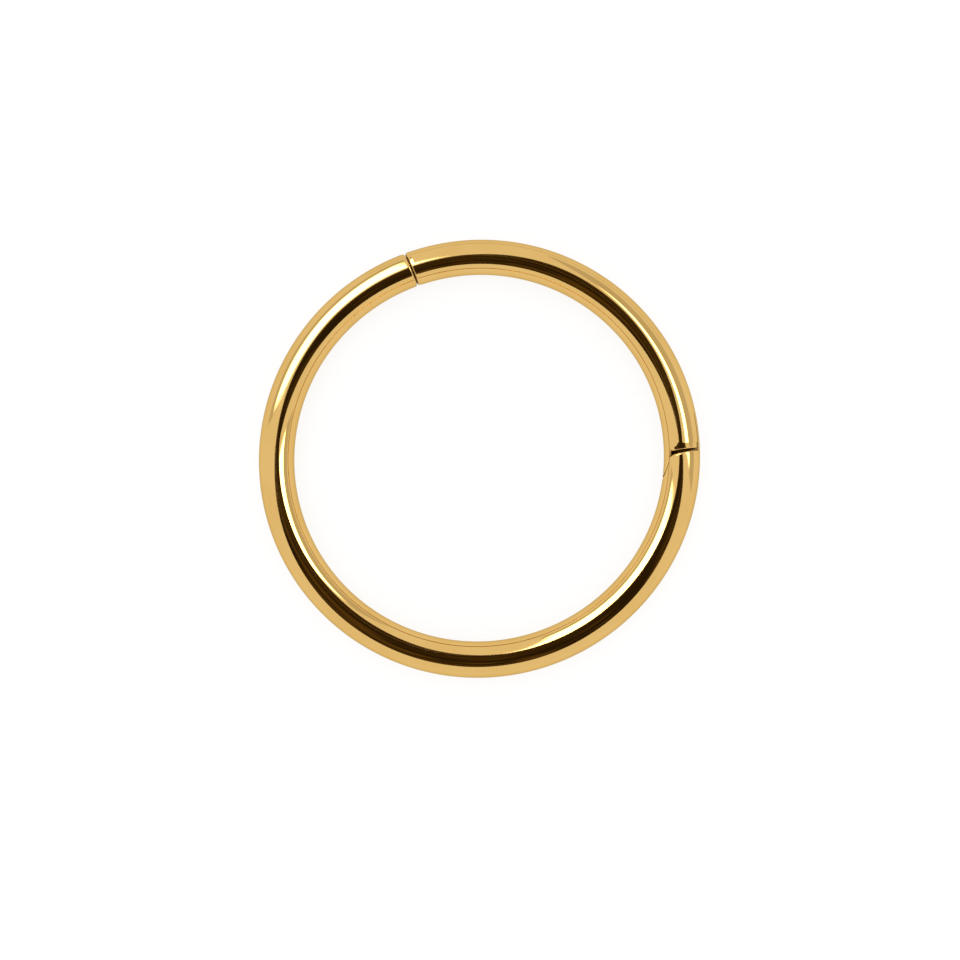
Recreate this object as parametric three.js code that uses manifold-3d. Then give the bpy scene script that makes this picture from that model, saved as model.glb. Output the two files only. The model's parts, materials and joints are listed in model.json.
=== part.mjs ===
// A hinged segment hoop earring in round wire, lying on its side. Millimetres, +Z up.
// The hoop's centre is on the Z axis and its underside is at z = 0. The hinge seam crosses the
// wire on the +X axis. The segment runs from there anticlockwise to the closure, and it swings
// outwards on a hidden pin. Lengths inside the wire are measured from its middle plane.

import * as THREE from 'three';
import { mergeVertices } from 'three/addons/utils/BufferGeometryUtils.js';
import Module from 'manifold-3d';

const wasm = await Module();
wasm.setup();

// Wire and hoop
const wireDiameter = 1.2;
const insideDiameter = 12.5;
const wireSides = 24;
const hoopSteps = 96;

// Seams, in degrees round the hoop and degrees of lean away from the radius. The closure's faces
// also lean away from upright, so no light shows through between them
const seamLean = 7.7;
const closureAngle = 109.2;
const closureLean = 4.3;
const closureTilt = 3.5;
const closureGap = 0.04;
const closureStock = 0.1;          // what each plan leaves beyond the closure, for the end cut

// Hinge, at the pin: how far outside the wire's centre line and how far round the hoop it stands
const pinOffset = 0.25;
const pinAngle = 7.2;
const pinRadius = 0.115;
const pinLength = 0.78;
const pinSides = 24;
const knuckleRadius = 0.625;
const tongueThickness = 0.66;

// Running clearances
const jointGap = 0.035;
const sideGap = 0.03;
const pinGap = 0.02;
const shoulderGap = { inner: 0.12, outer: 0.03 };   // where the cutting shapes end, beyond the wire

// Cheek corner, rounded in plan
const cheekCorner = { start: 0.36, radius: 0.2 };

// Inner tab of the segment, half an ellipse seen from inside the hoop
const tabLength = 0.85;
const tabHalfWidth = 0.44;
const tabGap = { side: 0.02, tip: 0.05 };

// Catch nub on the segment's free end, sized along the wire and across it
const nub = { length: 0.42, inner: -0.44, tip: 0, thickness: 0.4, root: 0.1 };
const nubGap = 0.035;

// Roundness of the cutting shapes
const arcSteps = 10;
const discSteps = 40;
const smallestStep = 1e-5;
const reach = 1.2;                 // how far a cutting shape passes the wire's centre line

const wireRadius = wireDiameter / 2;
const centreRadius = insideDiameter / 2 + wireRadius;
const middleHeight = wireRadius;
const insideLimit = centreRadius - reach;
const outsideLimit = centreRadius + reach;
const pinDistance = centreRadius + pinOffset;
const cavityRadius = knuckleRadius + jointGap;
const webRadius = pinDistance - cavityRadius;
const neckRadius = pinDistance - knuckleRadius;
const slotThickness = tongueThickness + 2 * sideGap;

const radians = THREE.MathUtils.degToRad;

function polar(radius, degrees) {
  const angle = radians(degrees);
  return new THREE.Vector2(radius * Math.cos(angle), radius * Math.sin(angle));
}

const pinPlace = polar(pinDistance, pinAngle);

// Solids from geometries, and meshes from solids

function solid(geometry) {
  const bare = geometry.clone();
  bare.deleteAttribute('normal');
  bare.deleteAttribute('uv');
  const merged = mergeVertices(bare, smallestStep);
  const corners = merged.index.array;
  const triangles = [];
  for (let i = 0; i < corners.length; i += 3) {
    const [a, b, c] = corners.slice(i, i + 3);
    if (a !== b && b !== c && c !== a) triangles.push(a, b, c);
  }
  return new wasm.Manifold(new wasm.Mesh({
    numProp: 3,
    vertProperties: merged.attributes.position.array,
    triVerts: new Uint32Array(triangles),
  }));
}

function mesh(name, shape, material) {
  const result = shape.getMesh();
  const geometry = new THREE.BufferGeometry();
  geometry.setAttribute('position', new THREE.BufferAttribute(result.vertProperties, 3));
  geometry.setIndex(new THREE.BufferAttribute(result.triVerts, 1));
  geometry.computeVertexNormals();
  const item = new THREE.Mesh(geometry, material);
  item.name = name;
  return item;
}

// An outline pushed straight to the given depth, without the doubled points where curves meet
function pushed(outline, depth) {
  const points = outline.getPoints(arcSteps);
  const apart = (point, i) => point.distanceTo(points[(i + 1) % points.length]) > smallestStep;
  return new THREE.ExtrudeGeometry(new THREE.Shape(points.filter(apart)), {
    depth, bevelEnabled: false,
  });
}

// A plan outline raised to the given thickness, centred on the wire's middle plane
function plate(outline, thickness = 2 * reach) {
  return solid(pushed(outline, thickness).translate(0, 0, middleHeight - thickness / 2));
}

// A profile (distance from the axis, height from the middle plane) turned about an upright axis
function turned(profile, steps) {
  const geometry = new THREE.LatheGeometry(profile, steps);
  return geometry.rotateX(Math.PI / 2).translate(0, 0, middleHeight);
}

function atPin(geometry) {
  return geometry.translate(pinPlace.x, pinPlace.y, 0);
}

// The whole hoop, its section a polygon whose flats touch the round wire
function hoop() {
  const corner = wireRadius / Math.cos(Math.PI / wireSides);
  const profile = [];
  for (let i = 0; i <= wireSides; i += 1) {
    const angle = (2 * Math.PI * (i + 0.5)) / wireSides;
    const side = new THREE.Vector2(Math.cos(angle), Math.sin(angle)).multiplyScalar(corner);
    profile.push(side.add(new THREE.Vector2(centreRadius, 0)));
  }
  return solid(turned(profile, hoopSteps));
}

// Half a round nose, from its bottom to its top: side 1 faces away from the axis, -1 towards it
function roundNose(centre, radius, side) {
  const points = [];
  for (let i = 0; i <= arcSteps; i += 1) {
    const angle = Math.PI * (i / arcSteps - 0.5);
    points.push(new THREE.Vector2(centre + side * radius * Math.cos(angle), radius * Math.sin(angle)));
  }
  return points;
}

// A disc with a full round rim, about the pin
function roundRimDisc(radius, thickness) {
  const rim = roundNose(radius - thickness / 2, thickness / 2, 1);
  const profile = [new THREE.Vector2(0, -thickness / 2), ...rim, new THREE.Vector2(0, thickness / 2)];
  return solid(atPin(turned(profile, discSteps)));
}

// A flat band round the hoop, from a round inner edge to well outside the wire
function roundEdgeBand(innerRadius, thickness) {
  const edge = roundNose(innerRadius + thickness / 2, thickness / 2, -1).reverse();
  const profile = [
    ...edge,
    new THREE.Vector2(outsideLimit, -thickness / 2),
    new THREE.Vector2(outsideLimit, thickness / 2),
    edge[0].clone(),
  ];
  return solid(turned(profile, hoopSteps));
}

// A round bar along the pin's axis
function round(radius, length) {
  const half = length / 2;
  const profile = [
    new THREE.Vector2(0, -half), new THREE.Vector2(radius, -half),
    new THREE.Vector2(radius, half), new THREE.Vector2(0, half),
  ];
  return solid(atPin(turned(profile, pinSides)));
}

// Points on the hinge seam and on the closure, by their distance out from the centre line

function onSeam(out, lift = 0) {
  const along = new THREE.Vector2(Math.cos(radians(seamLean)), Math.sin(radians(seamLean)));
  return new THREE.Vector2(centreRadius + along.x * out, along.y * out + lift);
}

function onClosure(out, ahead = 0) {
  const centre = polar(centreRadius, closureAngle);
  const across = polar(out, closureAngle + closureLean);
  const onward = polar(ahead, closureAngle + closureLean + 90);
  return centre.add(across).add(onward);
}

// Takes a plan outline round the hoop, well inside or outside the wire, between two points' angles
function goRound(plan, radius, from, to, clockwise) {
  plan.absarc(0, 0, radius, Math.atan2(from.y, from.x), Math.atan2(to.y, to.x), clockwise);
}

// Plan of the segment: out along the seam with its rounded cheek corner, round the outside to
// just past the closure, in along it, and back round the inside
function segmentPlan() {
  const inner = onSeam(-reach);
  const corner = onSeam(cheekCorner.start);
  const centre = new THREE.Vector2(
    corner.x - cheekCorner.radius * Math.sin(radians(seamLean)),
    corner.y + cheekCorner.radius * Math.cos(radians(seamLean)),
  );
  const outer = new THREE.Vector2(outsideLimit, centre.y);
  const closureOut = onClosure(reach, closureStock);
  const closureIn = onClosure(-reach, closureStock);
  const plan = new THREE.Shape();
  plan.moveTo(inner.x, inner.y);
  plan.lineTo(corner.x, corner.y);
  plan.absarc(centre.x, centre.y, cheekCorner.radius, radians(seamLean - 90), 0, false);
  plan.lineTo(outer.x, outer.y);
  goRound(plan, outsideLimit + reach, outer, closureOut, false);
  plan.lineTo(closureOut.x, closureOut.y);
  plan.lineTo(closureIn.x, closureIn.y);
  goRound(plan, insideLimit - reach, closureIn, inner, true);
  return plan;
}

// Plan of the hoop's body: in along the shoulder, which the gap parts from the cheeks, round the
// inside to just past the closure, out along it, and back round the outside
function bodyPlan() {
  const outer = onSeam(reach, -shoulderGap.outer);
  const inner = onSeam(-reach, -shoulderGap.inner);
  const closureOut = onClosure(reach, -closureStock);
  const closureIn = onClosure(-reach, -closureStock);
  const plan = new THREE.Shape();
  plan.moveTo(outer.x, outer.y);
  plan.lineTo(inner.x, inner.y);
  goRound(plan, insideLimit - reach, inner, closureIn, true);
  plan.lineTo(closureIn.x, closureIn.y);
  plan.lineTo(closureOut.x, closureOut.y);
  goRound(plan, outsideLimit + reach, closureOut, outer, false);
  return plan;
}

// Plan of the neck or its slot: from below the seam up to the radius through the pin
function neckPlan() {
  const top = [polar(insideLimit, pinAngle), polar(outsideLimit, pinAngle)];
  const foot = -shoulderGap.inner - reach / 2;
  const plan = new THREE.Shape();
  plan.moveTo(insideLimit, foot);
  plan.lineTo(outsideLimit, foot);
  plan.lineTo(top[1].x, top[1].y);
  plan.lineTo(top[0].x, top[0].y);
  return plan;
}

// The tab's outline seen from inside the hoop, pushed through it along X
function tabBlock(halfWidth, length) {
  const outline = new THREE.Shape();
  outline.moveTo(tabLength / 2, -halfWidth);
  outline.lineTo(tabLength / 2, halfWidth);
  outline.lineTo(0, halfWidth);
  outline.absellipse(0, 0, length, halfWidth, Math.PI / 2, (3 * Math.PI) / 2, false);
  const geometry = pushed(outline, 2 * reach).rotateX(Math.PI / 2).rotateZ(Math.PI / 2);
  return solid(geometry.translate(insideLimit, 0, middleHeight));
}

// The inside of the hoop, out to the given radius
function innerDrum(radius) {
  const half = reach;
  const profile = [
    new THREE.Vector2(0, -half), new THREE.Vector2(radius, -half),
    new THREE.Vector2(radius, half), new THREE.Vector2(0, half),
  ];
  return solid(turned(profile, hoopSteps));
}

// All that lies beyond a piece's face at the closure: sense 1 for the segment, -1 for the body
function beyondClosure(sense) {
  const block = new THREE.BoxGeometry(2 * reach, reach, 2 * reach);
  block.translate(0, (sense * (reach - closureGap)) / 2, 0);
  block.rotateX(radians(closureTilt)).rotateZ(radians(closureAngle + closureLean));
  const centre = polar(centreRadius, closureAngle);
  return solid(block.translate(centre.x, centre.y, middleHeight));
}

// The catch nub, or its pocket when it is given clearance: a wedge whose outer flank slopes
// enough for it to leave the pocket on the segment's swing
function nubWedge(clearance) {
  const start = -closureGap / 2;
  const end = start + nub.length + clearance;
  const slope = clearance * Math.SQRT2;
  const corners = [
    onClosure(nub.inner - clearance, start - nub.root),
    onClosure(nub.tip + nub.length + slope, start - nub.root),
    onClosure(nub.tip + nub.length + slope, start),
    onClosure(nub.tip - clearance + slope, end),
    onClosure(nub.inner - clearance, end),
  ];
  return plate(new THREE.Shape(corners), nub.thickness + 2 * clearance);
}

function hoopBody(wire) {
  const neck = roundEdgeBand(neckRadius, tongueThickness).intersect(plate(neckPlan()));
  const knuckle = roundRimDisc(knuckleRadius, tongueThickness);
  const notch = innerDrum(neckRadius).intersect(
    tabBlock(tabHalfWidth + tabGap.side, tabLength + tabGap.tip),
  );
  const bore = round(pinRadius + pinGap, 2 * reach);
  return wire.intersect(plate(bodyPlan()).add(neck).add(knuckle))
    .subtract(beyondClosure(-1)).subtract(notch).subtract(bore).subtract(nubWedge(nubGap));
}

function hingedSegment(wire) {
  const slot = roundEdgeBand(webRadius, slotThickness).intersect(plate(neckPlan()));
  const cavity = roundRimDisc(cavityRadius, slotThickness);
  const tab = innerDrum(webRadius).intersect(tabBlock(tabHalfWidth, tabLength));
  const pocket = round(pinRadius + pinGap, pinLength + 2 * pinGap);
  return wire.intersect(plate(segmentPlan()).add(tab))
    .subtract(beyondClosure(1)).subtract(slot).subtract(cavity).subtract(pocket).add(nubWedge(0));
}

function hingePin() {
  return round(pinRadius, pinLength);
}

const polishedGold = new THREE.MeshStandardMaterial({
  name: 'polished gold', color: '#e0b870', roughness: 0.1, metalness: 1,
});
const pinSteel = new THREE.MeshStandardMaterial({
  name: 'pin steel', color: '#c9b284', roughness: 0.3, metalness: 1,
});

const wire = hoop();
const earring = new THREE.Group();
earring.add(
  mesh('hoop_body', hoopBody(wire), polishedGold),
  mesh('hinged_segment', hingedSegment(wire), polishedGold.clone()),
  mesh('hinge_pin', hingePin(), pinSteel),
);

export default earring;
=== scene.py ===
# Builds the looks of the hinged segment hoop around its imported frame.
import json
import math
import bpy
import bmesh
from mathutils import Matrix, Vector


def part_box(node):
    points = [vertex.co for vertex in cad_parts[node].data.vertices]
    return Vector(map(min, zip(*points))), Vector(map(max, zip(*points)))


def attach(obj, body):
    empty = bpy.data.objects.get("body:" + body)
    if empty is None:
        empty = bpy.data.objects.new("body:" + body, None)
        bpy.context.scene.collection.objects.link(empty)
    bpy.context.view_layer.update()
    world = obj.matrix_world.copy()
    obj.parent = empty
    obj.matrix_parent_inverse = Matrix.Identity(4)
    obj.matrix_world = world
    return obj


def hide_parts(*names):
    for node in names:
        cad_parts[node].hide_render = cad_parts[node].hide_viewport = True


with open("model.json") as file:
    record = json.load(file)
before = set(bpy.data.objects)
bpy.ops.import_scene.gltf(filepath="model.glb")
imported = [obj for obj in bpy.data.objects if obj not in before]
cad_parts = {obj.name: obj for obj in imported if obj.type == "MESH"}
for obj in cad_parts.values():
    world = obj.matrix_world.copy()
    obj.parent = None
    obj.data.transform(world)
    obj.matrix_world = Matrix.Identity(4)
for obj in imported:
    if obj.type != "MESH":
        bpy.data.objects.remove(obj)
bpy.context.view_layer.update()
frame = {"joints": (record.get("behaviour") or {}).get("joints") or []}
print("frame loaded")

mm = 0.001                                     # pieces are shaped in millimetres, then shrunk to metres
samePlace = 0.001                              # millimetres within which two places count as one
sameWay = 0.99                                 # cosine from which two directions count as one

# what the frame says, in millimetres
low, high = [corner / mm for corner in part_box("hoop_body")]
wireRadius = (high.z - low.z) / 2
centreRadius = -low.x - wireRadius             # the body reaches the ring's far left side
pinPlace = Vector(frame["joints"][0]["pos_m"]) / mm
pinLow, pinHigh = [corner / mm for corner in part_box("hinge_pin")]
pinRadius = (pinHigh.x - pinLow.x) / 2
pinLength = pinHigh.z - pinLow.z
pinAngle = math.atan2(pinPlace.y, pinPlace.x)

wire = {
    "sides": 96,                               # round the wire
    "stepDegrees": 1.0,                        # round the hoop
    "bodyFrom": -2.2,                          # degrees from the closure, cut back later
    "bodyTo": 374,
    "segmentFrom": -9,
    "segmentTo": 1.8,                          # from the closure again
}
endCut = {
    "length": 4,                               # of the block of metal taken away ahead of an end
    "plugLength": 2,
    "plugSpare": 0.002,                        # keeps the plug's side off the wire's skin
    "plugSides": 112,
    "sides": 64,
    "rimSteps": 8,
}
seam = {
    "lean": 7.7,                               # degrees away from the radius, on the segment
    "bodyLean": 10.8,                          # the same on the body, so the gap narrows outwards
    "bodyBack": 0.074,                         # how far the body's end stands behind the segment's
    "cheekRim": 0.05,                          # rounding of the rims that meet
    "cheekEase": (0.2, 0.024),                 # how far back the wire eases off, and how deep
    "shoulderRim": 0.075,
    "shoulderEase": (0.08, 0.01),
}
closure = {
    "angle": 109.2,
    "lean": 4.3,
    "tilt": 3.5,                               # degrees away from upright
    "gap": 0.04,
    "rim": 0.05,
    "ease": (0.13, 0.012),
}
knuckle = {
    "radius": 0.625,
    "thickness": 0.61,
    "gap": 0.012,                              # to the segment's cavity
    "sideGap": 0.03,
    "pinGap": 0.02,
    "foot": -6.5,                              # degrees round the hoop where the neck begins
    "slotFoot": -10.5,
    "bandWidth": 1.6,
    "bandSteps": 48,
    "edgeShare": 0.499,                        # rounding, just under half so that the two edges don't meet
    "edgeSteps": 10,
}
tab = {
    "halfWidth": 0.44,
    "length": 0.85,
    "sideGap": 0.002,
    "tipGap": 0.09,
    "backGap": 0.012,
    "sides": 96,
    "drumSides": 360,
}
cheek = {
    "cornerStart": 0.36,                       # out from the wire's centre line
    "cornerRound": 0.2,
    "cornerReach": 0.6,                        # size of the block that the corner's metal is taken with
}
catch = {
    "inner": -0.44,
    "tip": 0.0,
    "length": 0.42,
    "thickness": 0.4,
    "root": 0.1,
    "gap": 0.035,
}
turned = {
    "sides": 48,                               # of the pin and of its bores
    "rim": 0.025,
    "rimSteps": 4,
}
weld = {
    "spun": 0.0001,                            # millimetres, where a spun shape meets itself
    "finished": 0.0004,                        # where cuts leave points almost together
    "sharpAngle": 28,                          # degrees from which an edge stays crisp
}


def polar(radius, angle, height=0.0):
    return Vector((radius * math.cos(angle), radius * math.sin(angle), height))


def deselectAll():
    if bpy.context.mode != "OBJECT":
        bpy.ops.object.mode_set(mode="OBJECT")
    bpy.ops.object.select_all(action="DESELECT")


def pick(piece):
    deselectAll()
    piece.select_set(True)
    bpy.context.view_layer.objects.active = piece


def named(name):
    piece = bpy.context.object
    piece.name = name
    piece.data.name = name
    return piece


def settled(piece):
    # place, turn and size go into the mesh
    pick(piece)
    bpy.ops.object.transform_apply(location=True, rotation=True, scale=True)
    return piece


def selectBy(piece, kind, test):
    # leaves the piece in edit mode with the vertices, edges or faces that pass the test selected
    pick(piece)
    bpy.ops.object.mode_set(mode="EDIT")
    bpy.ops.mesh.select_mode(type=kind)
    bpy.ops.mesh.select_all(action="DESELECT")
    shape = bmesh.from_edit_mesh(piece.data)
    parts = {"VERT": shape.verts, "EDGE": shape.edges, "FACE": shape.faces}[kind]
    for part in parts:
        part.select = test(part)
    if kind == "VERT":
        shape.select_flush(True)
    bmesh.update_edit_mesh(piece.data)


def boolean(piece, other, operation):
    # the other shape is used up
    pick(piece)
    step = piece.modifiers.new(operation.lower(), "BOOLEAN")
    step.operation = operation
    step.solver = "EXACT"
    step.object = other
    bpy.ops.object.modifier_apply(modifier=step.name)
    bpy.data.objects.remove(other)
    return piece


def cut(piece, other):
    return boolean(piece, other, "DIFFERENCE")


def roundBar(name, radius, length, place, axis=(0, 0, 1), sides=96):
    turn = Vector((0, 0, 1)).rotation_difference(Vector(axis)).to_euler()
    bpy.ops.mesh.primitive_cylinder_add(
        vertices=sides, radius=radius, depth=length, location=place, rotation=turn,
    )
    return settled(named(name))


def block(name, size, place, turn=0.0):
    bpy.ops.mesh.primitive_cube_add(size=1, location=place, rotation=(0, 0, turn))
    bpy.context.object.scale = size
    return settled(named(name))


def wireStretch(name, fromDegrees, toDegrees):
    # a length of the ring, a circle spun about the hoop's axis
    steps = round((toDegrees - fromDegrees) / wire["stepDegrees"])
    start = math.radians(fromDegrees)
    bpy.ops.mesh.primitive_circle_add(
        vertices=wire["sides"], radius=wireRadius, fill_type="NGON",
        location=polar(centreRadius, start, wireRadius), rotation=(math.pi / 2, 0, start),
    )
    piece = settled(named(name))
    bpy.ops.object.mode_set(mode="EDIT")
    bpy.ops.mesh.select_all(action="SELECT")
    turn = math.radians(fromDegrees - toDegrees)
    bpy.ops.mesh.spin(steps=steps, angle=turn, center=(0, 0, 0), axis=(0, 0, 1), dupli=False)
    bpy.ops.mesh.select_all(action="SELECT")
    bpy.ops.mesh.remove_doubles(threshold=weld["spun"])
    bpy.ops.mesh.normals_make_consistent(inside=False)
    bpy.ops.object.mode_set(mode="OBJECT")
    return piece


def endCutter(name, place, heading, rim, ease, keep=()):
    # takes all that lies ahead of the place, and leaves a wire end that eases off to a rounded rim
    easeLength, easeDepth = ease
    spare = endCut["plugSpare"]
    ahead = place + heading * (endCut["length"] / 2 - easeLength)
    cutter = roundBar(name, 2 * wireRadius, endCut["length"], ahead, heading, sides=endCut["sides"])
    behind = place - heading * (endCut["plugLength"] / 2 + easeLength)
    plug = roundBar(
        "plug", wireRadius + spare, endCut["plugLength"], behind, heading, sides=endCut["plugSides"],
    )
    selectBy(plug, "FACE", lambda face: face.normal.dot(heading) > sameWay)
    bpy.ops.mesh.extrude_region_move(TRANSFORM_OT_translate={"value": heading * easeLength})
    shrink = 1 - (easeDepth + spare) / wireRadius
    bpy.ops.transform.resize(value=(shrink, shrink, shrink), center_override=place)
    selectBy(plug, "EDGE", lambda edge: all((v.co - place).dot(heading) > -samePlace for v in edge.verts))
    bpy.ops.mesh.bevel(offset=rim, segments=endCut["rimSteps"], profile=0.5, affect="EDGES")
    bpy.ops.object.mode_set(mode="OBJECT")
    cut(cutter, plug)
    for shape in keep:
        cut(cutter, shape)
    return cutter


def cornerCutter(name, centre, radius, outward, ahead):
    # rounds an upright corner: the quarter beyond the centre, less the round that stays
    size = cheek["cornerReach"]
    middle = centre + (outward + ahead) * size / 2
    turn = math.atan2(outward.y, outward.x)
    cutter = block(name, (size, size, 3 * wireRadius), middle, turn)
    return cut(cutter, roundBar("round", radius, 4 * wireRadius, centre))


def isLevel(edge):
    return abs(edge.verts[0].co.z - edge.verts[1].co.z) < samePlace


def roundRimDisc(name, radius, thickness):
    disc = roundBar(name, radius, thickness, pinPlace)
    selectBy(disc, "EDGE", isLevel)
    roundOff = thickness * knuckle["edgeShare"]
    bpy.ops.mesh.bevel(offset=roundOff, segments=knuckle["edgeSteps"], profile=0.5, affect="EDGES")
    bpy.ops.object.mode_set(mode="OBJECT")
    return disc


def roundEdgeBand(name, innerRadius, thickness, fromAngle, toAngle):
    # a flat band round the hoop with a round inner edge, spun from its section
    width = knuckle["bandWidth"]
    middle = innerRadius + width / 2
    bpy.ops.mesh.primitive_plane_add(
        size=1, location=polar(middle, fromAngle, wireRadius), rotation=(math.pi / 2, 0, fromAngle),
    )
    bpy.context.object.scale = (width, thickness, 1)
    band = settled(named(name))
    selectBy(band, "VERT", lambda v: v.co.xy.length < middle)
    roundOff = thickness * knuckle["edgeShare"]
    bpy.ops.mesh.bevel(offset=roundOff, segments=knuckle["edgeSteps"], profile=0.5, affect="VERTICES")
    bpy.ops.mesh.select_all(action="SELECT")
    turn = fromAngle - toAngle
    bpy.ops.mesh.spin(
        steps=knuckle["bandSteps"], angle=turn, center=(0, 0, 0), axis=(0, 0, 1), dupli=False,
    )
    bpy.ops.mesh.select_all(action="SELECT")
    bpy.ops.mesh.remove_doubles(threshold=weld["spun"])
    bpy.ops.mesh.normals_make_consistent(inside=False)
    bpy.ops.object.mode_set(mode="OBJECT")
    return band


def innerTab(name, halfWidth, length, outerRadius):
    # half an ellipse seen from inside the hoop, as deep as the given distance from the axis
    bpy.ops.mesh.primitive_cylinder_add(
        vertices=tab["sides"], radius=1, depth=2,
        location=(centreRadius, 0, wireRadius), rotation=(0, math.pi / 2, 0),
    )
    bpy.context.object.scale = (halfWidth, length, 1)
    piece = settled(named(name))
    drum = roundBar("drum", outerRadius, 3 * wireRadius, (0, 0, wireRadius), sides=tab["drumSides"])
    return boolean(piece, drum, "INTERSECT")


def catchWedge(name, clearance):
    # a block beyond the closure whose outer flank slopes, with a root sunk in the segment
    slope = clearance * math.sqrt(2)
    inner = catch["inner"] - clearance
    outer = catch["tip"] + catch["length"] + slope
    length = catch["length"] + clearance
    centre = closurePlace - closureOnward * closure["gap"] / 2
    middle = centre + closureOutward * (inner + outer) / 2 + closureOnward * length / 2
    size = (outer - inner, length, catch["thickness"] + 2 * clearance)
    wedge = block(name, size, middle, math.atan2(closureOutward.y, closureOutward.x))
    outerTip = middle + (closureOutward * size[0] + closureOnward * size[1]) / 2
    selectBy(wedge, "VERT", lambda v: (v.co - outerTip).xy.length < samePlace)
    bpy.ops.transform.translate(value=-closureOutward * length)
    selectBy(wedge, "FACE", lambda face: face.normal.dot(closureOnward) < -sameWay)
    bpy.ops.mesh.extrude_region_move(TRANSFORM_OT_translate={"value": -closureOnward * catch["root"]})
    bpy.ops.object.mode_set(mode="OBJECT")
    return wedge


def finished(piece):
    # even shading, then metres
    pick(piece)
    bpy.ops.object.mode_set(mode="EDIT")
    bpy.ops.mesh.select_all(action="SELECT")
    bpy.ops.mesh.remove_doubles(threshold=weld["finished"])
    bpy.ops.mesh.normals_make_consistent(inside=False)
    bpy.ops.object.mode_set(mode="OBJECT")
    bpy.ops.object.shade_smooth_by_angle(angle=math.radians(weld["sharpAngle"]))
    even = piece.modifiers.new("even", "WEIGHTED_NORMAL")
    even.mode = "FACE_AREA"
    even.keep_sharp = True
    bpy.ops.object.modifier_apply(modifier=even.name)
    piece.scale = (mm, mm, mm)
    return settled(piece)


print("tools ready")

# places and directions that both pieces share
pinDistance = pinPlace.xy.length
slotThickness = knuckle["thickness"] + 2 * knuckle["sideGap"]
neckRadius = pinDistance - knuckle["radius"]
webRadius = neckRadius - knuckle["gap"]

seamPlace = Vector((centreRadius, 0, wireRadius))
seamHeading = polar(1, math.radians(90 + seam["lean"]))
seamOutward = polar(1, math.radians(seam["lean"]))
bodyHeading = polar(1, math.radians(90 + seam["bodyLean"]))
bodyPlace = seamPlace - bodyHeading * seam["bodyBack"]
closurePlace = polar(centreRadius, math.radians(closure["angle"]), wireRadius)
closureOutward = polar(1, math.radians(closure["angle"] + closure["lean"]))
closureOnward = polar(1, math.radians(closure["angle"] + closure["lean"] + 90))
tilt = math.radians(closure["tilt"])
closureHeading = closureOnward * math.cos(tilt) + Vector((0, 0, math.sin(tilt)))


def makeHoopBody():
    body = wireStretch("hoop_body_polished", closure["angle"] + wire["bodyFrom"], wire["bodyTo"])
    foot = math.radians(knuckle["foot"])
    neck = roundEdgeBand("neck", neckRadius, knuckle["thickness"], foot, pinAngle)
    disc = roundRimDisc("disc", knuckle["radius"], knuckle["thickness"])
    ease = seam["shoulderEase"]
    cut(body, endCutter("shoulder", bodyPlace, bodyHeading, seam["shoulderRim"], ease, [neck, disc]))
    notchWidth = tab["halfWidth"] + tab["sideGap"]
    cut(body, innerTab("notch", notchWidth, tab["length"] + tab["tipGap"], neckRadius))
    boreRadius = pinRadius + knuckle["pinGap"]
    cut(body, roundBar("bore", boreRadius, 3 * wireRadius, pinPlace, sides=turned["sides"]))
    face = closurePlace + closureHeading * closure["gap"] / 2
    cut(body, endCutter("closureEnd", face, -closureHeading, closure["rim"], closure["ease"]))
    cut(body, catchWedge("catchPocket", catch["gap"]))
    return finished(body)


def makeHingedSegment():
    segmentTo = closure["angle"] + wire["segmentTo"]
    segment = wireStretch("hinged_segment_polished", wire["segmentFrom"], segmentTo)
    keep = innerTab("keptTab", tab["halfWidth"], tab["length"], neckRadius - tab["backGap"])
    cut(segment, endCutter("cheeks", seamPlace, -seamHeading, seam["cheekRim"], seam["cheekEase"], [keep]))
    foot = math.radians(knuckle["slotFoot"])
    cut(segment, roundEdgeBand("slot", webRadius, slotThickness, foot, pinAngle))
    cut(segment, roundRimDisc("cavity", knuckle["radius"] + knuckle["gap"], slotThickness))
    centre = seamPlace + seamOutward * cheek["cornerStart"] + seamHeading * cheek["cornerRound"]
    cut(segment, cornerCutter("cheekCorner", centre, cheek["cornerRound"], seamOutward, -seamHeading))
    pocketRadius = pinRadius + knuckle["pinGap"]
    pocketLength = pinLength + 2 * knuckle["pinGap"]
    cut(segment, roundBar("pocket", pocketRadius, pocketLength, pinPlace, sides=turned["sides"]))
    face = closurePlace - closureHeading * closure["gap"] / 2
    cut(segment, endCutter("closureEnd", face, closureHeading, closure["rim"], closure["ease"]))
    boolean(segment, catchWedge("catchNub", 0), "UNION")
    return finished(segment)


def makeHingePin():
    piece = roundBar("hinge_pin_turned", pinRadius, pinLength, pinPlace, sides=turned["sides"])
    selectBy(piece, "EDGE", isLevel)
    bpy.ops.mesh.bevel(offset=turned["rim"], segments=turned["rimSteps"], profile=0.5, affect="EDGES")
    bpy.ops.object.mode_set(mode="OBJECT")
    return finished(piece)


hoopBody = makeHoopBody()
print("hoop body made")
hingedSegment = makeHingedSegment()
print("hinged segment made")
hingePin = makeHingePin()
print("hinge pin made")


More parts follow.
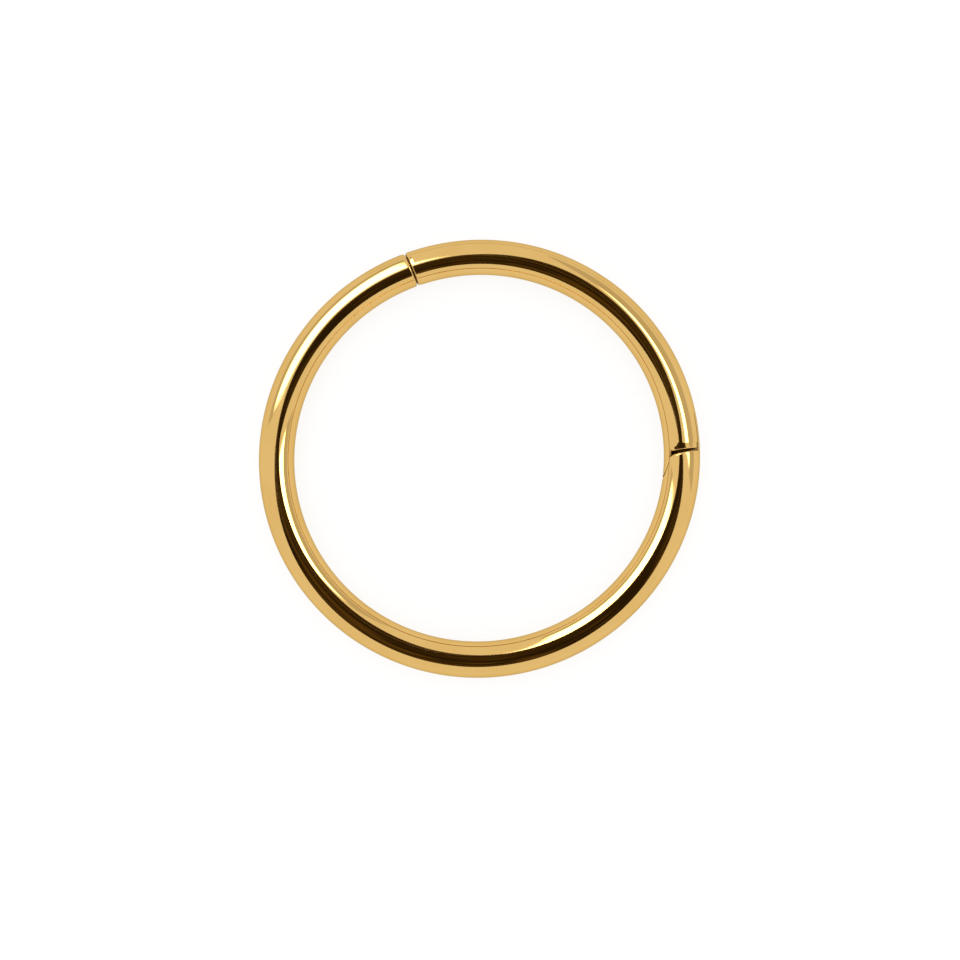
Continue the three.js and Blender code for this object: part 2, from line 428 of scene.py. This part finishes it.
gold = {
    "colour": (0.755, 0.485, 0.165, 1),
    "deepColour": (0.735, 0.465, 0.15, 1),     # where the coating is a touch thicker
    "edgeTint": (0.72, 0.66, 0.5, 1),          # of what is seen at a glancing angle
    "cutAndShadeColour": (0.22, 0.13, 0.045, 1),       # faces inside the cuts, left unpolished, and darkened as painted shade in the gaps between the pieces
    "smooth": 0.035,                           # roughness
    "hazy": 0.065,
    "cutRoughness": 0.42,
    "cutAndShadeStart": 0.032,                         # millimetres below the wire's skin, where the unpolished look and the painted shade begin
    "cutAndShadeEnd": 0.055,
    "spread": (0.35, 0.65),                    # of the noise, over which one look passes into the other
    "waveSize": 1.6,                           # millimetres from one polishing wave to the next
    "hazesPerWave": 3,
    "waveHeight": 0.0022,
    "hairlines": 55,                           # lines per millimetre across the wire
    "hairlineStretch": 0.5,                    # the same along it
    "hairlineHeight": 0.00004,
    "markHeight": 0.0012,
}
# level faces inside the slot are left unpolished and painted dark as shade in the gap, as the deep faces are
cutAndShadeLook = {
    "level": (0.94, 0.98),                     # how upright a face's normal is, from none of it to all
    "side": (0.9, 0.85),                       # the same by distance from the middle plane, in wire radii
    "marks": (8, 8, 60),                       # saw marks per millimetre along each axis
}
pin = {
    "colour": (0.6, 0.52, 0.4, 1),
    "deepColour": (0.5, 0.42, 0.31, 1),
    "smooth": 0.22,
    "hazy": 0.4,
    "stainSize": 0.3,                          # millimetres
    "stainSpread": (0.35, 0.65),
    "lineSpread": (0.3, 0.7),
    "drawLines": 70,                           # per millimetre across the pin
    "drawStretch": 1.5,
    "drawHeight": 0.0004,
}


def feed(tree, value, socket):
    # a socket takes a link from another socket, or a plain value
    if isinstance(value, bpy.types.NodeSocket):
        tree.links.new(value, socket)
    else:
        socket.default_value = value


def calc(tree, operation, first, second=0.0):
    node = tree.nodes.new("ShaderNodeMath")
    node.operation = operation
    feed(tree, first, node.inputs[0])
    feed(tree, second, node.inputs[1])
    return node.outputs[0]


def acrossBoth(tree, first, second):
    # the straight distance of two distances square to each other
    squares = [calc(tree, "MULTIPLY", side, side) for side in (first, second)]
    return calc(tree, "SQRT", calc(tree, "ADD", *squares))


def remap(tree, value, fromLow, fromHigh, toLow, toHigh):
    node = tree.nodes.new("ShaderNodeMapRange")
    node.interpolation_type = "SMOOTHSTEP"
    for i, entry in enumerate((value, fromLow, fromHigh, toLow, toHigh)):
        feed(tree, entry, node.inputs[i])
    return node.outputs[0]


def blendColours(tree, share, first, second):
    node = tree.nodes.new("ShaderNodeMix")
    node.data_type = "RGBA"
    feed(tree, share, node.inputs[0])
    # sockets 6 and 7, and output 2, are the ones for colours
    feed(tree, first, node.inputs[6])
    feed(tree, second, node.inputs[7])
    return node.outputs[2]


def newGroup(name, takes, gives):
    group = bpy.data.node_groups.new(name, "ShaderNodeTree")
    for socket, kind, value in takes:
        entry = group.interface.new_socket(name=socket, in_out="INPUT", socket_type="NodeSocket" + kind)
        entry.default_value = value
    for socket in gives:
        group.interface.new_socket(name=socket, in_out="OUTPUT", socket_type="NodeSocketFloat")
    start = group.nodes.new("NodeGroupInput")
    end = group.nodes.new("NodeGroupOutput")
    return group, start.outputs, end.inputs


def useGroup(tree, group, **inputs):
    node = tree.nodes.new("ShaderNodeGroup")
    node.node_tree = group
    for name, value in inputs.items():
        feed(tree, value, node.inputs[name])
    return node.outputs


def makeWirePlace():
    # where a point lies in the wire's round section, and how deep below its skin, in millimetres
    group, _, gives = newGroup("wire place", [], ["Out", "Up", "Depth", "X", "Y"])
    place = group.nodes.new("ShaderNodeTexCoord").outputs["Object"]
    parts = group.nodes.new("ShaderNodeSeparateXYZ")
    group.links.new(place, parts.inputs[0])
    x = calc(group, "DIVIDE", parts.outputs["X"], mm)
    y = calc(group, "DIVIDE", parts.outputs["Y"], mm)
    z = calc(group, "DIVIDE", parts.outputs["Z"], mm)
    reach = acrossBoth(group, x, y)
    out = calc(group, "SUBTRACT", reach, centreRadius)
    up = calc(group, "SUBTRACT", z, wireRadius)
    off = acrossBoth(group, out, up)
    depth = calc(group, "SUBTRACT", wireRadius, off)
    for name, value in (("Out", out), ("Up", up), ("Depth", depth), ("X", x), ("Y", y)):
        group.links.new(value, gives[name])
    return group


def makeFineLines():
    # long fine lines: two ways across them in Place, and two ways along them in Place and Further
    group, takes, gives = newGroup(
        "fine lines", [("Place", "Vector", (0, 0, 0)), ("Further", "Float", 0.0)], ["Lines"],
    )
    noise = group.nodes.new("ShaderNodeTexNoise")
    noise.noise_dimensions = "4D"
    noise.inputs["Scale"].default_value = 1.0
    noise.inputs["Detail"].default_value = 3.0
    group.links.new(takes["Place"], noise.inputs["Vector"])
    group.links.new(takes["Further"], noise.inputs["W"])
    group.links.new(noise.outputs["Fac"], gives["Lines"])
    return group


def makeDrift():
    # slow, soft change over the metal, one patch to the next being Size millimetres
    group, takes, gives = newGroup("drift", [("Size", "Float", 1.0)], ["Drift"])
    place = group.nodes.new("ShaderNodeTexCoord").outputs["Object"]
    noise = group.nodes.new("ShaderNodeTexNoise")
    group.links.new(place, noise.inputs["Vector"])
    group.links.new(calc(group, "DIVIDE", 1 / mm, takes["Size"]), noise.inputs["Scale"])
    noise.inputs["Detail"].default_value = 1.0
    group.links.new(noise.outputs["Fac"], gives["Drift"])
    return group


def makeCutFaceAndShade():
    # one where a face lies deeper below the wire's skin than End, or is level though it isn't the top or
    # underside of the wire, and none nearer the skin than Start, with saw marks; it marks the unpolished cut
    # faces and also paints shade into the gaps between the pieces
    group, takes, gives = newGroup("cut face and painted shade", [
        ("Depth", "Float", 0.0), ("Up", "Float", 0.0), ("Start", "Float", 0.0), ("End", "Float", 0.1),
    ], ["Mask", "Marks"])
    coordinates = group.nodes.new("ShaderNodeTexCoord").outputs
    place = coordinates["Object"]
    facing = group.nodes.new("ShaderNodeSeparateXYZ")
    group.links.new(coordinates["Normal"], facing.inputs[0])
    deep = remap(group, takes["Depth"], takes["Start"], takes["End"], 0.0, 1.0)
    upright = calc(group, "ABSOLUTE", facing.outputs["Z"])
    level = remap(group, upright, *cutAndShadeLook["level"], 0.0, 1.0)
    fromMiddle = calc(group, "ABSOLUTE", takes["Up"])
    sideFrom, sideTo = [wireRadius * share for share in cutAndShadeLook["side"]]
    side = remap(group, fromMiddle, sideFrom, sideTo, 0.0, 1.0)
    mask = calc(group, "MAXIMUM", deep, calc(group, "MULTIPLY", level, side))
    group.links.new(mask, gives["Mask"])
    stretch = group.nodes.new("ShaderNodeMapping")
    stretch.inputs["Scale"].default_value = [marks / mm for marks in cutAndShadeLook["marks"]]
    group.links.new(place, stretch.inputs["Vector"])
    noise = group.nodes.new("ShaderNodeTexNoise")
    noise.inputs["Scale"].default_value = 1.0
    group.links.new(stretch.outputs["Vector"], noise.inputs["Vector"])
    group.links.new(noise.outputs["Fac"], gives["Marks"])
    return group


wirePlace = makeWirePlace()
fineLines = makeFineLines()
drift = makeDrift()
cutFaceAndShade = makeCutFaceAndShade()
print("shared effects made")


def newMaterial(name):
    material = bpy.data.materials.new(name)
    material.use_nodes = True
    return material, material.node_tree


def bump(tree, height):
    node = tree.nodes.new("ShaderNodeBump")
    node.inputs["Strength"].default_value = 1.0
    node.inputs["Distance"].default_value = mm
    tree.links.new(height, node.inputs["Height"])
    return node.outputs["Normal"]


def makePolishedGold():
    material, tree = newMaterial("polished gold")
    shader = tree.nodes["Principled BSDF"]
    shader.inputs["Metallic"].default_value = 1.0
    shader.inputs["Specular Tint"].default_value = gold["edgeTint"]
    at = useGroup(tree, wirePlace)
    across = gold["hairlines"]
    along = gold["hairlineStretch"]
    place = tree.nodes.new("ShaderNodeCombineXYZ")
    tree.links.new(calc(tree, "MULTIPLY", at["Out"], across), place.inputs["X"])
    tree.links.new(calc(tree, "MULTIPLY", at["Up"], across), place.inputs["Y"])
    tree.links.new(calc(tree, "MULTIPLY", at["X"], along), place.inputs["Z"])
    further = calc(tree, "MULTIPLY", at["Y"], along)
    hair = useGroup(tree, fineLines, Place=place.outputs[0], Further=further)["Lines"]
    limits = {"Start": gold["cutAndShadeStart"], "End": gold["cutAndShadeEnd"]}
    cuttingAndShade = useGroup(tree, cutFaceAndShade, Depth=at["Depth"], Up=at["Up"], **limits)
    wave = useGroup(tree, drift, Size=gold["waveSize"])["Drift"]
    haze = useGroup(tree, drift, Size=gold["waveSize"] / gold["hazesPerWave"])["Drift"]
    thicker = remap(tree, wave, *gold["spread"], 0.0, 1.0)
    tone = blendColours(tree, thicker, gold["colour"], gold["deepColour"])
    # painted shade: faces deep in the cuts and level faces in the slot are darkened, as well as left
    # unpolished
    colour = blendColours(tree, cuttingAndShade["Mask"], tone, gold["cutAndShadeColour"])
    tree.links.new(colour, shader.inputs["Base Color"])
    dull = calc(tree, "MULTIPLY", calc(tree, "ADD", hair, haze), 0.5)
    polish = remap(tree, dull, *gold["spread"], gold["smooth"], gold["hazy"])
    unpolished = calc(tree, "MULTIPLY", cuttingAndShade["Mask"], gold["cutRoughness"])
    tree.links.new(calc(tree, "ADD", polish, unpolished), shader.inputs["Roughness"])
    waves = calc(tree, "MULTIPLY", wave, gold["waveHeight"])
    hairs = calc(tree, "MULTIPLY", hair, gold["hairlineHeight"])
    marks = calc(tree, "MULTIPLY", cuttingAndShade["Marks"], cuttingAndShade["Mask"])
    skin = calc(tree, "ADD", waves, hairs)
    height = calc(tree, "ADD", skin, calc(tree, "MULTIPLY", marks, gold["markHeight"]))
    tree.links.new(bump(tree, height), shader.inputs["Normal"])
    return material


def makePinSteel():
    material, tree = newMaterial("pin steel")
    shader = tree.nodes["Principled BSDF"]
    shader.inputs["Metallic"].default_value = 1.0
    stretch = tree.nodes.new("ShaderNodeMapping")
    stretch.vector_type = "TEXTURE"
    stretch.inputs["Location"].default_value = pinPlace * mm
    across = mm / pin["drawLines"]
    stretch.inputs["Scale"].default_value = (across, across, mm / pin["drawStretch"])
    tree.links.new(tree.nodes.new("ShaderNodeTexCoord").outputs["Object"], stretch.inputs["Vector"])
    lines = useGroup(tree, fineLines, Place=stretch.outputs["Vector"])["Lines"]
    stain = useGroup(tree, drift, Size=pin["stainSize"])["Drift"]
    stained = remap(tree, stain, *pin["stainSpread"], 0.0, 1.0)
    colour = blendColours(tree, stained, pin["colour"], pin["deepColour"])
    tree.links.new(colour, shader.inputs["Base Color"])
    roughness = remap(tree, lines, *pin["lineSpread"], pin["smooth"], pin["hazy"])
    tree.links.new(roughness, shader.inputs["Roughness"])
    tree.links.new(bump(tree, calc(tree, "MULTIPLY", lines, pin["drawHeight"])), shader.inputs["Normal"])
    return material


def dress(piece, material, body, node):
    piece.data.materials.clear()
    piece.data.materials.append(material)
    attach(piece, body)
    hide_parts(node)


polishedGold = makePolishedGold()
dress(hoopBody, polishedGold, "hoop", "hoop_body")
dress(hingedSegment, polishedGold, "segment", "hinged_segment")
dress(hingePin, makePinSteel(), "segment", "hinge_pin")
print("finishes made")


view = {
    "target": (0.095, -0.863, 0.6),            # millimetres
    "distance": 44.85,
    "fromUpright": 8.3,
    "towards": -60.7,
    "roll": 0.23,
    "lens": 50,
    "sensor": 36,
    "farLimit": 20,                            # metres
}
floorLook = {
    "size": 4,                                 # metres
    "albedo": (0.2, 0.2, 0.2, 1),
    "glow": 0.83,
}
darkCards = {
    "wide": {
        "centre": (0, -13, 26),                # millimetres
        "reach": (25, 18),                     # half its width and depth
        "lean": 11,                            # degrees, lower on the near side
        "turn": 0,
    },
    "narrow": {
        "centre": (2, 4, 28),
        "reach": (5, 11),
        "lean": 0,
        "turn": -10,
    },
}
darkLook = {
    "sides": 96,
    "patchSize": 7,                            # millimetres
    "spread": (0.4, 0.7),
    "dark": (0.025, 0.016, 0.006, 1),
    "pale": (0.1, 0.062, 0.018, 1),
}
rightLight = {
    "azimuth": 48.6,
    "shift": -7,                               # sideways, millimetres
    "near": (28, 63, 9),                       # distance out, height, half width
    "far": (18, 18, 13),
    "glow": 6.0,
}
leftLight = {
    "azimuth": 145.7,
    "shift": -5.6,
    "near": (9.4, 44.4, 2),
    "far": (28, 20.5, 14),
    "glow": 6.0,
}
lightLook = {
    "frame": 0.3,                              # depth of the dim frame below, as a share of the face
    "frameGlow": 0.7,
    "soft": 0.1,                               # share of the face over which the glow rises to full strength
    "cuts": 15,                                # keeps the glow even over a face that narrows
}
tableEdge = {
    "azimuth": 80,
    "distance": 250,                           # millimetres
    "width": 420,
    "height": 20,
    "glow": 0.7,
}


def makeCamera():
    bpy.ops.object.camera_add()
    camera = bpy.context.object
    camera.name = "camera"
    lean = math.radians(view["fromUpright"])
    back = polar(math.sin(lean), math.radians(view["towards"]), math.cos(lean))
    roll = math.radians(view["roll"])
    up = Vector((math.sin(roll), math.cos(roll), 0))
    up = (up - back * up.dot(back)).normalized()
    turn = Matrix((up.cross(back), up, back)).transposed()
    camera.location = (Vector(view["target"]) + back * view["distance"]) * mm
    camera.rotation_euler = turn.to_euler()
    camera.data.lens = view["lens"]
    camera.data.sensor_width = view["sensor"]
    camera.data.clip_start = mm
    camera.data.clip_end = view["farLimit"]
    bpy.context.scene.camera = camera


def makeWorld():
    world = bpy.data.worlds.new("studio")
    bpy.context.scene.world = world
    world.use_nodes = True
    world.node_tree.nodes["Background"].inputs["Color"].default_value = (1, 1, 1, 1)
    world.node_tree.nodes["Background"].inputs["Strength"].default_value = 1.0


def makeFloor():
    bpy.ops.mesh.primitive_plane_add(size=floorLook["size"])
    floor = named("floor")
    material, tree = newMaterial("pale floor")
    shader = tree.nodes["Principled BSDF"]
    shader.inputs["Base Color"].default_value = floorLook["albedo"]
    shader.inputs["Roughness"].default_value = 1.0
    shader.inputs["Specular IOR Level"].default_value = 0.0
    shader.inputs["Emission Color"].default_value = (1, 1, 1, 1)
    shader.inputs["Emission Strength"].default_value = floorLook["glow"]
    floor.data.materials.append(material)


def glowing(name, colour, strength):
    material, tree = newMaterial(name)
    tree.nodes.clear()
    glow = tree.nodes.new("ShaderNodeEmission")
    feed(tree, colour, glow.inputs["Color"])
    glow.inputs["Strength"].default_value = strength
    out = tree.nodes.new("ShaderNodeOutputMaterial")
    tree.links.new(glow.outputs["Emission"], out.inputs["Surface"])
    return material, tree, glow


def glowingFace(name, strength):
    # full glow in the middle, which falls off towards the face's four sides, with the dim frame below it
    material, tree, glow = glowing(name, (1, 1, 1, 1), strength)
    parts = tree.nodes.new("ShaderNodeSeparateXYZ")
    tree.links.new(tree.nodes.new("ShaderNodeTexCoord").outputs["UV"], parts.inputs[0])
    down = calc(tree, "MULTIPLY", parts.outputs["Y"], 1 + lightLook["frame"])
    level = strength - lightLook["frameGlow"]
    for along in (parts.outputs["X"], down):
        fromMiddle = calc(tree, "ABSOLUTE", calc(tree, "SUBTRACT", along, 0.5))
        full = remap(tree, fromMiddle, 0.5, 0.5 - lightLook["soft"], 0.0, 1.0)
        level = calc(tree, "MULTIPLY", full, level)
    tree.links.new(calc(tree, "ADD", level, lightLook["frameGlow"]), glow.inputs["Strength"])
    return material


def onlyInReflections(card, *materials):
    # studio things that only polished metal sees
    for material in materials:
        card.data.materials.append(material)
    card.visible_camera = False
    card.visible_diffuse = False
    card.visible_shadow = False
    settled(card)


def makeDarkCards():
    # the patchy dark underside of the camera and its arm, over the hoop
    material, tree, glow = glowing("dark card", darkLook["dark"], 1.0)
    patches = useGroup(tree, drift, Size=darkLook["patchSize"])["Drift"]
    share = remap(tree, patches, *darkLook["spread"], 0.0, 1.0)
    tree.links.new(blendColours(tree, share, darkLook["dark"], darkLook["pale"]), glow.inputs["Color"])
    for name, card in darkCards.items():
        bpy.ops.mesh.primitive_circle_add(
            vertices=darkLook["sides"], radius=mm, fill_type="NGON",
            location=Vector(card["centre"]) * mm,
            rotation=(math.radians(card["lean"]), 0, math.radians(card["turn"])),
        )
        bpy.context.object.scale = (*card["reach"], 1)
        onlyInReflections(named(name + " dark card"), material)


def makeLight(name, light):
    # a leaning panel, narrower at its near end, that runs on past its far end as a dim frame
    azimuth = math.radians(light["azimuth"])
    aside = polar(1, azimuth + math.pi / 2)
    ends = []
    for end in ("near", "far"):
        distance, height, halfWidth = light[end]
        middle = polar(distance, azimuth, height) + aside * light["shift"]
        ends.append([middle - aside * halfWidth, middle + aside * halfWidth])
    bpy.ops.mesh.primitive_plane_add(size=1)
    panel = named(name)
    for i, (near, far) in enumerate(zip(*ends)):
        panel.data.vertices[i].co = near * mm
        panel.data.vertices[i + 2].co = far.lerp(near, -lightLook["frame"]) * mm
    pick(panel)
    bpy.ops.object.mode_set(mode="EDIT")
    bpy.ops.mesh.select_all(action="SELECT")
    bpy.ops.mesh.subdivide(number_cuts=lightLook["cuts"])
    bpy.ops.object.mode_set(mode="OBJECT")
    onlyInReflections(panel, glowingFace(name, light["glow"]))


def makeTableEdge():
    edge = tableEdge
    azimuth = math.radians(edge["azimuth"])
    bpy.ops.mesh.primitive_plane_add(
        size=1, location=polar(edge["distance"], azimuth, edge["height"] / 2) * mm,
        rotation=(math.pi / 2, 0, azimuth + math.pi / 2),
    )
    bpy.context.object.scale = (edge["width"] * mm, edge["height"] * mm, 1)
    onlyInReflections(named("table edge"), glowing("table edge", (1, 1, 1, 1), edge["glow"])[0])


makeCamera()
makeWorld()
makeFloor()
makeDarkCards()
makeLight("right light", rightLight)
makeLight("left light", leftLight)
makeTableEdge()
bpy.context.scene.view_settings.view_transform = "Standard"
print("studio made")
